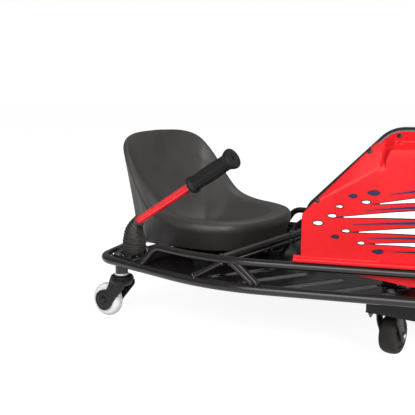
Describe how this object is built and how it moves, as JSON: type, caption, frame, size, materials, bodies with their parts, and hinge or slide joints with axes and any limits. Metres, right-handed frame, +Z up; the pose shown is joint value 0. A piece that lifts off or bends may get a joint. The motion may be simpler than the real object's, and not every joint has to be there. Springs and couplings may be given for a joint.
{
  "type": "electric drift kart",
  "caption": "Low electric drift kart for a child: tube frame with deck pan, bucket seat, tilting rear casters on a lever shaft, steered drive wheel and red fairing.",
  "frame": {"origin": "on the ground, midway between the foremost and rearmost points and midway across", "axes": "+X forward, +Y to the driver's left, +Z up"},
  "size_m": [1.0745, 0.6686, 0.574],
  "materials": {
    "frame": "gloss black",
    "fairing": "gloss red",
    "seat": "grained dark grey",
    "bar": "gloss red",
    "rubber": "matt",
    "tyre": "matt",
    "caster": "satin off-white",
    "black_plastic": "satin black",
    "steel": "bright",
    "alloy": "cast"
  },
  "bodies": {
    "kart": {"lower_rail": "frame", "upper_rail": "frame", "deck_pan": "frame", "seat_shell": "seat", "seat_support": "frame", "pivot_bracket_right": "frame", "pivot_bracket_left": "frame", "pivot_bush_right": "black_plastic", "pivot_bush_left": "black_plastic", "fairing_right": "fairing", "fairing_left": "fairing", "fairing_nose": "fairing", "fairing_hoop": "frame", "steering_head": "frame", "bearing_plate": "frame", "tip_hood_right": "frame", "tip_hood_left": "frame", "battery_tray": "frame", "battery_right": "black_plastic", "battery_left": "black_plastic", "controller": "alloy", "switch_panel": "frame", "charger_port": "black_plastic", "pedal_bracket": "frame", "wiring_harness": "rubber"},
    "drift": {"drift_shaft": "steel", "drift_bar": "bar", "drift_grip": "rubber", "drift_boot": "rubber", "caster_mount_right": "frame", "caster_mount_left": "frame", "caster_ring_right": "steel", "caster_ring_left": "steel", "caster_race_right": "black_plastic", "caster_race_left": "black_plastic"},
    "caster_fork_r": {"caster_fork_right": "black_plastic", "caster_axle_right": "black_plastic"},
    "caster_fork_l": {"caster_fork_left": "black_plastic", "caster_axle_left": "black_plastic"},
    "caster_wheel_r": {"caster_wheel_right": "caster"},
    "caster_wheel_l": {"caster_wheel_left": "caster"},
    "tip_fork_r": {"tip_fork_right": "black_plastic"},
    "tip_fork_l": {"tip_fork_left": "black_plastic"},
    "tip_wheel_r": {"tip_wheel_right": "tyre"},
    "tip_wheel_l": {"tip_wheel_left": "tyre"},
    "steering": {"steering_column": "steel", "steering_rim": "rubber", "steering_spider": "black_plastic", "steering_cap": "black_plastic", "drive_fork": "frame", "drive_motor": "black_plastic", "drive_axle": "steel", "drive_chain": "steel"},
    "pinion": {"drive_pinion": "steel"},
    "drive_wheel": {"drive_tyre": "tyre", "drive_rim": "alloy", "drive_sprocket": "steel"},
    "pedal": {"throttle_pedal": "black_plastic"},
    "switch": {"power_switch": "bar"}
  },
  "joints": [
    {"name": "drift", "type": "hinge", "parent": "kart", "child": "drift", "pos_m": [-0.4065, 0, 0.14], "axis": [0, -1, 0], "range_deg": [-28, 0]},
    {"name": "caster_swivel_right", "type": "hinge", "parent": "drift", "child": "caster_fork_r", "pos_m": [-0.4065, -0.275, 0.0927], "axis": [0, 0, 1], "continuous": true},
    {"name": "caster_swivel_left", "type": "hinge", "parent": "drift", "child": "caster_fork_l", "pos_m": [-0.4065, 0.275, 0.0927], "axis": [0, 0, 1], "continuous": true},
    {"name": "caster_spin_right", "type": "hinge", "parent": "caster_fork_r", "child": "caster_wheel_r", "pos_m": [-0.4505, -0.275, 0.038], "axis": [0, 1, 0], "continuous": true},
    {"name": "caster_spin_left", "type": "hinge", "parent": "caster_fork_l", "child": "caster_wheel_l", "pos_m": [-0.4505, 0.275, 0.038], "axis": [0, 1, 0], "continuous": true},
    {"name": "tip_swivel_right", "type": "hinge", "parent": "kart", "child": "tip_fork_r", "pos_m": [0.1775, -0.16, 0.12], "axis": [0, 0, 1], "continuous": true},
    {"name": "tip_swivel_left", "type": "hinge", "parent": "kart", "child": "tip_fork_l", "pos_m": [0.1775, 0.16, 0.12], "axis": [0, 0, 1], "continuous": true},
    {"name": "tip_spin_right", "type": "hinge", "parent": "tip_fork_r", "child": "tip_wheel_r", "pos_m": [0.1775, -0.14, 0.045], "axis": [1, 0, 0], "continuous": true},
    {"name": "tip_spin_left", "type": "hinge", "parent": "tip_fork_l", "child": "tip_wheel_l", "pos_m": [0.1775, 0.14, 0.045], "axis": [1, 0, 0], "continuous": true},
    {"name": "steer", "type": "hinge", "parent": "kart", "child": "steering", "pos_m": [0.3735, 0, 0.173], "axis": [0, 0, 1], "continuous": true},
    {"name": "drive_spin", "type": "hinge", "parent": "steering", "child": "drive_wheel", "pos_m": [0.3735, 0, 0.07], "axis": [0, 1, 0], "continuous": true},
    {"name": "pinion_spin", "type": "hinge", "parent": "steering", "child": "pinion", "pos_m": [0.2875, 0, 0.132], "axis": [0, 1, 0], "continuous": true},
    {"name": "throttle", "type": "hinge", "parent": "kart", "child": "pedal", "pos_m": [0.1495, -0.09, 0.1443], "axis": [0, 1, 0], "range_deg": [0, 18], "stiffness_Nm_per_rad": 2, "springref_deg": -5.73},
    {"name": "power", "type": "hinge", "parent": "kart", "child": "switch", "pos_m": [-0.1355, -0.016, 0.1793], "axis": [0, 1, 0], "range_deg": [-8, 0]}
  ],
  "couplings": [
    {"joint": "pinion_spin", "follows": "drive_spin", "ratio": 3.1429}
  ]
}
